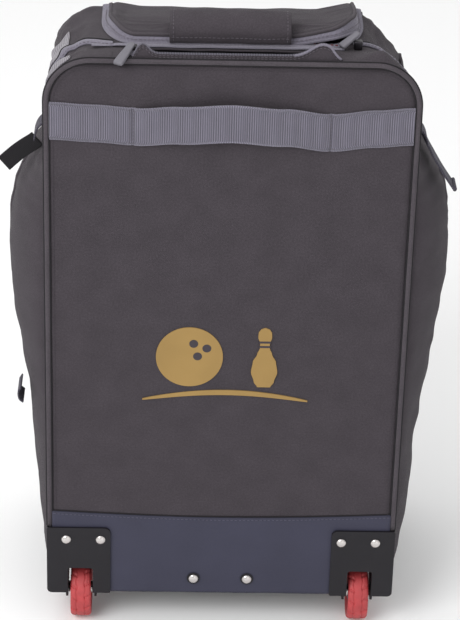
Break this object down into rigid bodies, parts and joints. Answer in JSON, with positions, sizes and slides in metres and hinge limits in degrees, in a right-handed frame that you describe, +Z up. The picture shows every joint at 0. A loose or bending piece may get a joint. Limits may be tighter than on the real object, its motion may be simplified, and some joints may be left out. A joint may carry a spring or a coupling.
{
  "type": "rolling bowling bag",
  "caption": "Upright soft rolling bag for a bowling ball: padded hinged lid, pull-out handle, webbing grab handle, corner guards, corner wheels, side and front pockets.",
  "frame": {"origin": "on the ground under the middle of the bag's overall box", "axes": "+Z up, +X to the right and +Y away when the wheels and the flat back panel face the viewer"},
  "size_m": [0.444, 0.302, 0.6605],
  "materials": {
    "polyester": "woven matte",
    "webbing": "ribbed webbing",
    "coated_fabric": "coated, slightly glossy",
    "black_webbing": "ribbed webbing",
    "lining": "thin lining over board",
    "foam": "closed-cell foam",
    "black_plastic": "moulded, satin",
    "grey_plastic": "moulded, satin",
    "red_rubber": "moulded tread",
    "steel": "bright",
    "aluminium": "satin anodised",
    "dark_metal": "dark plated"
  },
  "bodies": {
    "bag": {"top_panel": "polyester", "front_panel": "polyester", "left_side_panel": "polyester", "right_side_panel": "polyester", "back_panel": "polyester", "back_piping": "polyester", "mouth_flap": "polyester", "left_side_pocket": "polyester", "right_side_pocket": "polyester", "front_pocket": "polyester", "grab_handle": "webbing", "right_lashing_strap": "webbing", "left_lashing_strap": "black_webbing", "lower_wrap": "coated_fabric", "divider_panel": "lining", "ball_cup": "foam", "bottom_tray": "black_plastic", "left_corner_guard": "black_plastic", "right_corner_guard": "black_plastic", "left_base_washer": "black_plastic", "right_base_washer": "black_plastic", "left_wheel_housing": "black_plastic", "right_wheel_housing": "black_plastic", "left_foot": "black_plastic", "right_foot": "black_plastic", "handle_base": "black_plastic", "handle_bezel": "black_plastic", "left_guard_rivet_inner": "steel", "left_guard_rivet_outer": "steel", "left_base_rivet": "steel", "left_axle": "steel", "right_guard_rivet_inner": "steel", "right_guard_rivet_outer": "steel", "right_base_rivet": "steel", "right_axle": "steel", "left_outer_tube": "aluminium", "right_outer_tube": "aluminium"},
    "lid": {"lid_panel": "polyester", "lid_gusset": "webbing", "haul_handle": "polyester"},
    "left_wheel": {"left_tyre": "red_rubber", "left_hub": "grey_plastic", "left_bearing": "steel"},
    "right_wheel": {"right_tyre": "red_rubber", "right_hub": "grey_plastic", "right_bearing": "steel"},
    "handle_middle": {"left_middle_tube": "aluminium", "right_middle_tube": "aluminium"},
    "handle_inner": {"left_inner_tube": "aluminium", "right_inner_tube": "aluminium", "handle_grip": "black_plastic"},
    "button": {"release_button": "grey_plastic"},
    "mouth_slider": {"mouth_zip_slider": "dark_metal"},
    "mouth_pull": {"mouth_zip_pull": "grey_plastic"},
    "lid_slider": {"lid_zip_slider": "dark_metal"},
    "lid_pull": {"lid_zip_pull": "grey_plastic"},
    "front_slider": {"front_zip_slider": "dark_metal"},
    "front_pull": {"front_zip_pull": "grey_plastic"}
  },
  "joints": [
    {"name": "left_wheel_spin", "type": "hinge", "parent": "bag", "child": "left_wheel", "pos_m": [-0.1435, -0.117, 0.03], "axis": [1, 0, 0], "continuous": true},
    {"name": "right_wheel_spin", "type": "hinge", "parent": "bag", "child": "right_wheel", "pos_m": [0.1435, -0.117, 0.03], "axis": [1, 0, 0], "continuous": true},
    {"name": "handle_first_stage", "type": "slide", "parent": "bag", "child": "handle_middle", "axis": [0, 0, 1], "range_m": [0, 0.215]},
    {"name": "handle_second_stage", "type": "slide", "parent": "handle_middle", "child": "handle_inner", "axis": [0, 0, 1], "range_m": [0, 0.215]},
    {"name": "release_button_press", "type": "slide", "parent": "handle_inner", "child": "button", "axis": [0, 0, -1], "range_m": [0, 0.003], "stiffness_N_per_m": 800},
    {"name": "lid_hinge", "type": "hinge", "parent": "bag", "child": "lid", "pos_m": [0, 0.1255, 0.55], "axis": [-1, 0, 0], "range_deg": [0, 120]},
    {"name": "mouth_zip_run", "type": "slide", "parent": "bag", "child": "mouth_slider", "axis": [-1, 0, 0], "range_m": [0, 0.035]},
    {"name": "mouth_pull_flip", "type": "hinge", "parent": "mouth_slider", "child": "mouth_pull", "pos_m": [-0.0955, -0.125, 0.6386], "axis": [-0.9004, 0.4351, 0], "range_deg": [0, 120]},
    {"name": "lid_zip_run", "type": "slide", "parent": "bag", "child": "lid_slider", "axis": [-1, 0, 0], "range_m": [0, 0.04]},
    {"name": "lid_pull_flip", "type": "hinge", "parent": "lid_slider", "child": "lid_pull", "pos_m": [0.116, -0.1055, 0.6445], "axis": [-0.2305, 0.9731, 0], "range_deg": [0, 100]},
    {"name": "front_zip_run", "type": "slide", "parent": "bag", "child": "front_slider", "axis": [1, 0, 0], "range_m": [0, 0.15]},
    {"name": "front_pull_flip", "type": "hinge", "parent": "front_slider", "child": "front_pull", "pos_m": [-0.0795, 0.1498, 0.415], "axis": [1, 0, 0], "range_deg": [0, 100]}
  ]
}
